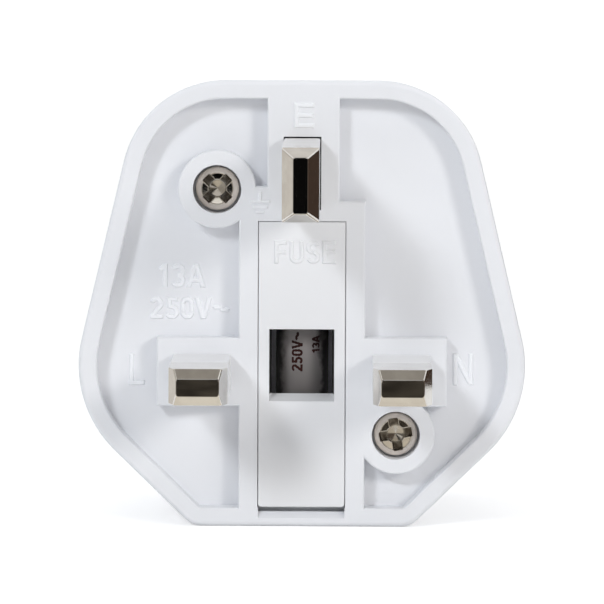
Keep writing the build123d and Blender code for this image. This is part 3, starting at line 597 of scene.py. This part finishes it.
def plated_skin_group():
    """Plated metal: drawing streaks along one axis, cloudy plating and small pits."""
    tree, given, out = start_group("plated_skin", [
        ("Vector", "NodeSocketVector", None),
        ("Stretch", "NodeSocketVector", (1.0, 0.05, 1.0)),
        ("Streak Scale", "NodeSocketFloat", 9000.0),
        ("Gloss", "NodeSocketFloat", 0.12),
        ("Gloss Spread", "NodeSocketFloat", 0.1),
    ], ["Tone", "Roughness", "Height"])
    stretched = vector_node(tree, "MULTIPLY", given["Vector"], given["Stretch"])["Vector"]
    streak = noise(tree, stretched, given["Streak Scale"], roughness=STREAK_ROUGHNESS)
    cloud = noise(tree, given["Vector"], CLOUD_SCALE)
    pits = noise(tree, given["Vector"], PIT_SCALE, PIT_DETAIL)
    tree.links.new(remap(tree, cloud, *NOISE_SPREAD), out["Tone"])
    tree.links.new(spread_gloss(tree, given, streak), out["Roughness"])
    pitted = remap(tree, pits, *PIT_RANGE, -1.0, 0.0)
    tree.links.new(math_node(tree, "ADD", streak, pitted), out["Height"])
    return tree


MOULDED = moulded_skin_group()
PLATED = plated_skin_group()


def start_material(name):
    """A material with its tree, its main shader and the object's own coordinates."""
    material = bpy.data.materials.new(name)
    material.use_nodes = True
    tree = material.node_tree
    shader = tree.nodes["Principled BSDF"]
    place = add_node(tree, "ShaderNodeTexCoord").outputs["Object"]
    return material, tree, shader, place


def use_skin(tree, shader, group, values, colours, bump):
    """Places a skin group in a material. Its height makes the bump, and the blend of two colours by its tone
    and its roughness are given back."""
    skin = add_node(tree, "ShaderNodeGroup", values, node_tree=group)
    strength, depth = bump
    raised = add_node(tree, "ShaderNodeBump", {"Strength": strength, "Distance": depth * MM,
                                               "Height": skin.outputs["Height"]})
    tree.links.new(raised.outputs[0], shader.inputs["Normal"])
    return mix_colours(tree, skin.outputs["Tone"], *colours), skin.outputs["Roughness"]


def plastic(name, dark, light, gloss=PLASTIC_SATIN, grain=9000.0, bump=0.25, ior=1.5):
    """Satin moulded plastic between two close tones."""
    material, tree, shader, place = start_material(name)
    values = {"Vector": place, "Gloss": gloss, "Gloss Spread": PLASTIC_GLOSS_SPREAD, "Grain Scale": grain}
    colour, roughness = use_skin(tree, shader, MOULDED, values, (dark, light), (bump, PLASTIC_BUMP_DEPTH))
    tree.links.new(colour, shader.inputs["Base Color"])
    tree.links.new(roughness, shader.inputs["Roughness"])
    shader.inputs["IOR"].default_value = ior
    return material


def plated(name, dark, light, gloss, stretch, spread=0.1, bump=0.15):
    """Bright plated metal between two close tones, with long streaks where the stretch is small."""
    material, tree, shader, place = start_material(name)
    values = {"Vector": place, "Gloss": gloss, "Gloss Spread": spread, "Stretch": stretch}
    colour, roughness = use_skin(tree, shader, PLATED, values, (dark, light), (bump, PLATED_BUMP_DEPTH))
    tree.links.new(colour, shader.inputs["Base Color"])
    tree.links.new(roughness, shader.inputs["Roughness"])
    shader.inputs["Metallic"].default_value = 1.0
    return material


def screw_plating(name, axes, gloss=0.1, spread=0.1, bump=0.25):
    """Plated steel with a bright crown, a duller, warmer ring round it by the distance from a screw's axis,
    and dark brown painted shade in the arms of the cross, uneven by noise."""
    material, tree, shader, place = start_material(name)
    values = {"Vector": place, "Gloss": gloss, "Gloss Spread": spread, "Stretch": (1.0, 1.0, 1.0)}
    crown, roughness = use_skin(tree, shader, PLATED, values, SCREW_TONES, (bump, PLATED_BUMP_DEPTH))
    flat = vector_node(tree, "MULTIPLY", place, (1, 0, 1))["Vector"]
    reaches = [vector_node(tree, "DISTANCE", flat, (x * MM, 0, z * MM))["Value"] for x, z in axes]
    ring = remap(tree, math_node(tree, "MINIMUM", *reaches), SCREW_RING_START * MM, SCREW_RING_END * MM)
    arms = add_node(tree, "ShaderNodeAttribute", attribute_name=ARM_SHARE).outputs["Fac"]
    dull = math_node(tree, "ADD", math_node(tree, "MULTIPLY", ring, SCREW_RING_DULLNESS),
                     math_node(tree, "MULTIPLY", arms, SCREW_ARM_DULLNESS))
    tree.links.new(math_node(tree, "ADD", roughness, dull), shader.inputs["Roughness"])
    ringed = mix_colours(tree, ring, crown, SCREW_RING_TONE)
    # Painted shade: the arms of the cross go towards dark brown, unevenly by noise, for the shade deep in
    # the recess.
    arm_shade_noise = noise(tree, place, SCREW_ARM_SHADE_SCALE, SCREW_ARM_SHADE_DETAIL)
    arm_shade_share = remap(tree, arm_shade_noise, *SCREW_ARM_SHADE_RANGE, *SCREW_ARM_SHADE_SHARES)
    arm_shaded = mix_colours(tree, math_node(tree, "MULTIPLY", arms, arm_shade_share), ringed, SCREW_ARM_SHADE)
    tree.links.new(arm_shaded, shader.inputs["Base Color"])
    shader.inputs["Metallic"].default_value = 1.0
    return material


def darken(material, mask, shade):
    """Carries a material's colour towards a darker one where a mask is 1."""
    tree = material.node_tree
    base = tree.nodes["Principled BSDF"].inputs["Base Color"]
    plain = base.links[0].from_socket
    tree.links.new(mix_colours(tree, mask, plain, shade), base)


def shade_window(material):
    """Paints shade on the inner edges of the fuse window, from just behind the face."""
    tree = material.node_tree
    place = add_node(tree, "ShaderNodeTexCoord").outputs["Object"]
    axes = add_node(tree, "ShaderNodeSeparateXYZ", {0: place}).outputs
    inside = remap(tree, axes["Y"], WINDOW_SHADE_START * MM, WINDOW_SHADE_END * MM)
    (left, right), (low, high), blur = WINDOW_X, WINDOW_Z, WINDOW_SHADE_BLUR * MM
    across = within(tree, axes["X"], left * MM, right * MM, blur)
    sides = math_node(tree, "MULTIPLY", across, within(tree, axes["Z"], low * MM, high * MM, blur))
    darken(material, math_node(tree, "MULTIPLY", inside, sides), WINDOW_SHADE)


def shade_tube(material, axis, radius):
    """Paints shade on the fuse tube: uneven towards its sides and, more lightly, towards the window's lower
    edge.
    """
    tree = material.node_tree
    place = add_node(tree, "ShaderNodeTexCoord").outputs["Object"]
    axes = add_node(tree, "ShaderNodeSeparateXYZ", {0: place}).outputs
    aside = math_node(tree, "ABSOLUTE", math_node(tree, "SUBTRACT", axes["X"], axis * MM))
    # Noise makes the edge of the painted shade on the sides uneven.
    shade_wobble = math_node(tree, "SUBTRACT", noise(tree, place, TUBE_SHADE_WOBBLE_SCALE), NOISE_MIDDLE)
    aside = math_node(tree, "MULTIPLY_ADD", shade_wobble, TUBE_SHADE_WOBBLE * radius * MM, aside)
    sides = remap(tree, aside, TUBE_SHADE_START * radius * MM, TUBE_SHADE_END * radius * MM)
    low, high = WINDOW_Z
    lower = remap(tree, axes["Z"], low * MM, high * MM, TUBE_LOW_SHADE, 0.0)
    darken(material, math_node(tree, "MAXIMUM", sides, lower), TUBE_SHADE)


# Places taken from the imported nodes
screws_low, screws_high = node_box("housing_screws")
screw_places = ((screws_low[0] + SCREW_HEAD_RADIUS, screws_high[2] - SCREW_HEAD_RADIUS),
                (screws_high[0] - SCREW_HEAD_RADIUS, screws_low[2] + SCREW_HEAD_RADIUS))
tube_low, tube_high = node_box("fuse_tube")
tube_axis = (tube_low + tube_high) / 2
tube_radius = (tube_high[0] - tube_low[0]) / 2
spring_low, spring_high = node_box("shutter_spring")
spring_axis = (spring_low + spring_high) / 2
spring_radius = (spring_high[0] - spring_low[0]) / 2

# Finishes, by the record's slots, and the two of the letters
FINISHES = {
    "housing_plastic": plastic("housing_plastic", (0.81, 0.82, 0.85), (0.82, 0.83, 0.86)),
    "sleeve_plastic": plastic("sleeve_plastic", (0.81, 0.81, 0.82), (0.82, 0.82, 0.83)),
    "carrier_plastic": plastic("carrier_plastic", (0.81, 0.815, 0.835), (0.82, 0.825, 0.845)),
    "inner_plastic": plastic("inner_plastic", (0.5, 0.5, 0.5), (0.58, 0.58, 0.57), gloss=0.5),
    # The fuse tube is white ceramic: its colour here is painted dark grey, as painted shade for the deep
    # window it sits behind.
    "ceramic": plastic("ceramic", (0.27, 0.25, 0.245), (0.34, 0.32, 0.31), gloss=0.5, grain=5000.0, bump=0.4,
                       ior=1.2),
    "plated_pin": plated("plated_pin", (0.68, 0.65, 0.61), (0.76, 0.735, 0.69), gloss=0.06,
                         stretch=(0.1, 0.05, 1.0), spread=0.06),
    "plated_cap": plated("plated_cap", (0.66, 0.64, 0.6), (0.74, 0.72, 0.68), gloss=0.22,
                         stretch=(1.0, 1.0, 0.08)),
    "spring_brass": plated("spring_brass", (0.66, 0.47, 0.2), (0.78, 0.6, 0.3), gloss=0.26,
                           stretch=(0.1, 1.0, 1.0), spread=0.2),
    "screw_steel": screw_plating("screw_steel", screw_places),
    "spring_steel": plated("spring_steel", (0.5, 0.5, 0.5), (0.62, 0.61, 0.6), gloss=0.25,
                           stretch=(1.0, 1.0, 0.2)),
}
# The raised letters are the housing's plastic painted a little lighter, as a painted highlight for the light
# that their tops catch.
LETTERS_PAINTED_LIGHTER = plastic("raised_letters_painted_lighter", (0.87, 0.88, 0.91), (0.89, 0.9, 0.93))
INK = plastic("fuse_ink", (0.022, 0.007, 0.006), (0.045, 0.012, 0.01), gloss=0.5, ior=1.2)
shade_window(FINISHES["carrier_plastic"])
shade_tube(FINISHES["ceramic"], tube_axis[0], tube_radius)
for subpart in frame["record"]["subparts"]:
    node = frame["nodes"][subpart["node"]]
    node.data.materials.clear()
    node.data.materials.append(FINISHES[subpart["material_slot"]])

# Raised letters on the face: the height, the centre, the depth of the face there and the form of each word
for name, word, height, centre, depth, form in (
    ("earth_letter", "wide E", 2.75, (0.18, 46.05), FACE_DEPTH, LETTER_FORM),
    ("line_letter", "L", 3.55, (-18.54, 17.36), RECESS_DEPTH, PIN_FORM),
    ("neutral_letter", "N", 3.55, (18.07, 17.54), RECESS_DEPTH, PIN_FORM),
    ("earth_sign", "earth", 2.35, (-4.68, 36.32), FACE_DEPTH, SIGN_FORM),
    ("current_rating", "13A", 2.6, (-13.5, 27.95), RECESS_DEPTH, RATING_FORM),
    ("voltage_rating", "250V~", 2.4, (-12.6, 24.3), RECESS_DEPTH, RATING_FORM),
):
    add_word(name, word, height, flat_place(centre, depth), LETTERS_PAINTED_LIGHTER, "housing", form)
add_word("fuse_word", "FUSE", 2.5, flat_place((0.33, 30.82), FACE_DEPTH), FINISHES["carrier_plastic"],
         "fuse_drawer", LETTER_FORM)

# Print on the fuse: the height, the turn round the tube in radians and the middle along it of each word
for name, word, height, turn, middle in (
    ("fuse_print_voltage", "250V~", 1.2, -0.19, 19.4),
    ("fuse_print_current", "13A", 0.95, 0.56, 20.2),
):
    place = tube_place(tube_axis, tube_radius, turn, middle)
    add_word(name, word, height, place, INK, "fuse_drawer", INK_FORM)

# Cross-head screws
screw_tubes, arm_shares = [], []
for (x, z), turn in zip(screw_places, SCREW_TURNS):
    across, depth, up, arms = screw_surface(turn, screws_high[1] - SCREW_SEAT)
    arm_shares.append(arms)
    surface = np.stack([x + across, SCREW_SEAT - SCREW_HEAD_HEIGHT + depth, z + up], axis=-1)
    screw_tubes.append((surface.reshape(-1, 3), *depth.shape))
screws = add_capped_piece("cross_head_screws", screw_tubes, FINISHES["screw_steel"], "housing",
                          arm_shares)
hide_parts("housing_screws")

# Shutter return spring, which in the adapter shortens against the cover's rib as the shutter rises; here it
# keeps one length
spring_tube = spring_surface(spring_low[2], spring_high[2], spring_axis, spring_radius)
spring = add_capped_piece("return_spring", [spring_tube], FINISHES["spring_steel"], "housing")
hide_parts("shutter_spring")
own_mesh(spring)


# Studio

def add_panel(name, centre, size, facing, material):
    """A flat panel of width and height, in millimetres, that looks along a direction."""
    direction = np.array(facing) / np.linalg.norm(facing)
    across = np.cross((0, 0, 1) if abs(direction[2]) < STEEP_PANEL else (0, 1, 0), direction)
    across /= np.linalg.norm(across)
    upward = np.cross(direction, across)
    corners = [np.array(centre) + sx * size[0] / 2 * across + sy * size[1] / 2 * upward
               for sx, sy in ((-1, -1), (1, -1), (1, 1), (-1, 1))]
    mesh = bpy.data.meshes.new(name)
    mesh.from_pydata((np.array(corners) * MM).tolist(), [], [(0, 1, 2, 3)])
    mesh.materials.append(material)
    panel = bpy.data.objects.new(name, mesh)
    bpy.context.scene.collection.objects.link(panel)
    return panel


def mirrored_rays(tree, path):
    """1 for rays from a mirror surface or through glass, by the outputs of a light path."""
    return math_node(tree, "MAXIMUM", path["Is Glossy Ray"], path["Is Transmission Ray"])


def make_world():
    """White where it is seen, also in a mirror surface or through glass, and a soft light on the object that
    is stronger from behind it than from the front."""
    world = bpy.data.worlds.new("studio")
    bpy.context.scene.world = world
    world.use_nodes = True
    tree = world.node_tree
    tree.nodes.clear()
    direction = add_node(tree, "ShaderNodeTexCoord").outputs["Generated"]
    depth = add_node(tree, "ShaderNodeSeparateXYZ", {0: direction}).outputs["Y"]
    strength = remap(tree, depth, -WORLD_TURN, WORLD_TURN, WORLD_FRONT, WORLD_BACK)
    lit = add_node(tree, "ShaderNodeBackground", {"Color": (*WORLD_COLOUR, 1), "Strength": strength})
    white = add_node(tree, "ShaderNodeBackground", {"Color": (1, 1, 1, 1), "Strength": 1.0})
    path = add_node(tree, "ShaderNodeLightPath").outputs
    seen = math_node(tree, "MAXIMUM", path["Is Camera Ray"], mirrored_rays(tree, path))
    mixed = add_node(tree, "ShaderNodeMixShader", {0: seen, 1: lit.outputs[0], 2: white.outputs[0]})
    add_node(tree, "ShaderNodeOutputWorld", {"Surface": mixed.outputs[0]})


def floor_material():
    """A pale matt floor that keeps the shadow, and glows more far off, where the lamps give it less."""
    material, tree, shader, place = start_material("floor_paper")
    tone = remap(tree, noise(tree, place, FLOOR_GRAIN_SCALE), *NOISE_SPREAD)
    darker = tuple(c * FLOOR_DARKER for c in FLOOR_COLOUR)
    tree.links.new(mix_colours(tree, tone, FLOOR_COLOUR, darker), shader.inputs["Base Color"])
    shader.inputs["Roughness"].default_value = FLOOR_ROUGHNESS
    shader.inputs["Emission Color"].default_value = (1, 1, 1, 1)
    reach = vector_node(tree, "LENGTH", place)["Value"]
    glow = remap(tree, reach, *FLOOR_GLOW_REACH, *FLOOR_GLOW)
    path = add_node(tree, "ShaderNodeLightPath").outputs
    mirrored = math_node(tree, "MULTIPLY", mirrored_rays(tree, path), FLOOR_MIRROR_SHARE)
    seen = math_node(tree, "MAXIMUM", path["Is Camera Ray"], mirrored)
    tree.links.new(math_node(tree, "MULTIPLY", seen, glow), shader.inputs["Emission Strength"])
    return material


def card_material(name, colour, streak=None):
    """A card that shows one even tone in a mirror surface, or two in level streaks, and lets the light that
    surfaces spread through."""
    material = bpy.data.materials.new(name)
    material.use_nodes = True
    tree = material.node_tree
    tree.nodes.clear()
    path = add_node(tree, "ShaderNodeLightPath").outputs
    spread_light = math_node(tree, "GREATER_THAN", path["Diffuse Depth"], 0.5)
    glow = add_node(tree, "ShaderNodeEmission", {"Color": (*colour, 1), "Strength": 1.0})
    if streak:
        place = add_node(tree, "ShaderNodeTexCoord").outputs["Object"]
        level = vector_node(tree, "MULTIPLY", place, CARD_STREAK_STRETCH)["Vector"]
        share = remap(tree, noise(tree, level, CARD_STREAK_SCALE), *CARD_STREAK_RANGE)
        tree.links.new(mix_colours(tree, share, colour, streak), glow.inputs["Color"])
    clear = add_node(tree, "ShaderNodeBsdfTransparent")
    mixed = add_node(tree, "ShaderNodeMixShader", {0: spread_light, 1: glow.outputs[0], 2: clear.outputs[0]})
    add_node(tree, "ShaderNodeOutputMaterial", {"Surface": mixed.outputs[0]})
    return material


def add_card(name, centre, size, facing, colour, streak=None):
    """A card that only mirror surfaces see, as the room beyond the white table."""
    card = add_panel(name, centre, size, facing, card_material(name, colour, streak))
    card.visible_camera = False
    card.visible_diffuse = False
    card.visible_shadow = False
    card.visible_transmission = False


def stand_card(name, start, end, low, high, colour, streak=None):
    """An upright card from one place on the floor plan to another, between two heights."""
    run = np.subtract(end, start)
    middle = np.add(start, end) / 2
    size = (np.hypot(*run), high - low)
    add_card(name, (*middle, (low + high) / 2), size, (-run[1], run[0], 0), colour, streak)


def add_softbox(name, centre, size, power, colour):
    """A square area lamp that looks at the middle of the object, and that no mirror surface shows."""
    lamp = bpy.data.lights.new(name, "AREA")
    lamp.shape = "SQUARE"
    lamp.size = size * MM
    lamp.energy = power
    lamp.color = colour
    holder = bpy.data.objects.new(name, lamp)
    holder.location = Vector(centre) * MM
    holder.rotation_mode = "QUATERNION"
    holder.rotation_quaternion = (Vector(AIM) - Vector(centre)).to_track_quat("-Z", "Y")
    holder.visible_glossy = False
    bpy.context.scene.collection.objects.link(holder)


make_world()
add_panel("floor", (0, 0, 0), (FLOOR_SIZE, FLOOR_SIZE), (0, 0, 1), floor_material())

# Lamps: the place, the side, the power in watts and the colour
add_softbox("left_softbox", (-420, -730, 505), 165, 3.0, (0.93, 0.965, 1.0))
add_softbox("right_softbox", (520, -640, 330), 200, 2.25, (1.0, 0.975, 0.94))
add_softbox("top_softbox", (0, -60, 800), 600, 0.8, (1.0, 1.0, 1.0))

# Upright cards round the object: two corners on the floor plan, the heights, the tone and its streaks
FRONT_LEFT, FRONT_RIGHT = (-34, -70), (34, -70)
FAR_LEFT, FAR_RIGHT = (-105, 10), (170, -10)
stand_card("low_front_card", FRONT_LEFT, FRONT_RIGHT, 0, 17, (0.012, 0.01, 0.008), (0.085, 0.074, 0.06))
stand_card("high_front_card", FRONT_LEFT, FRONT_RIGHT, 29, 62, (0.004, 0.004, 0.004))
stand_card("left_front_card", FRONT_LEFT, FAR_LEFT, 0, 80, (0.55, 0.53, 0.5))
stand_card("left_back_card", FAR_LEFT, (-75, 110), 0, 80, (0.72, 0.69, 0.65))
stand_card("right_front_card", FRONT_RIGHT, FAR_RIGHT, 0, 80, (0.15, 0.12, 0.1))
stand_card("right_back_card", FAR_RIGHT, (80, 141), 1.9, 90, (0.06, 0.04, 0.03))

# Level cards over and under the pins: the centre, the size, the side that they look to and the tone
add_card("overhead_card", (0, -110, 300), (400, 190), (0, 0, -1), (0.34, 0.32, 0.29))
add_card("front_floor_card", (0, -42, 0.2), (120, 60), (0, 0, 1), (0.82, 0.77, 0.68))
add_card("overhead_back_card", (0, 68, 300), (400, 166), (0, 0, -1), (0.76, 0.74, 0.72))

# Camera
elevation, azimuth = math.radians(VIEW_ELEVATION), math.radians(VIEW_AZIMUTH)
towards = Vector((-math.sin(azimuth) * math.cos(elevation), math.cos(azimuth) * math.cos(elevation),
                  -math.sin(elevation)))
lens = bpy.data.cameras.new("photo_camera")
lens.lens = LENS
lens.sensor_width = SENSOR
lens.clip_start, lens.clip_end = CLIP_START * MM, CLIP_END * MM
camera = bpy.data.objects.new("photo_camera", lens)
camera.location = (Vector(AIM) - towards * VIEW_DISTANCE) * MM
camera.rotation_mode = "QUATERNION"
roll = Quaternion((0, 0, 1), math.radians(VIEW_ROLL))
camera.rotation_quaternion = towards.to_track_quat("-Z", "Y") @ roll
bpy.context.scene.collection.objects.link(camera)
bpy.context.scene.camera = camera
bpy.context.scene.view_settings.view_transform = "Standard"
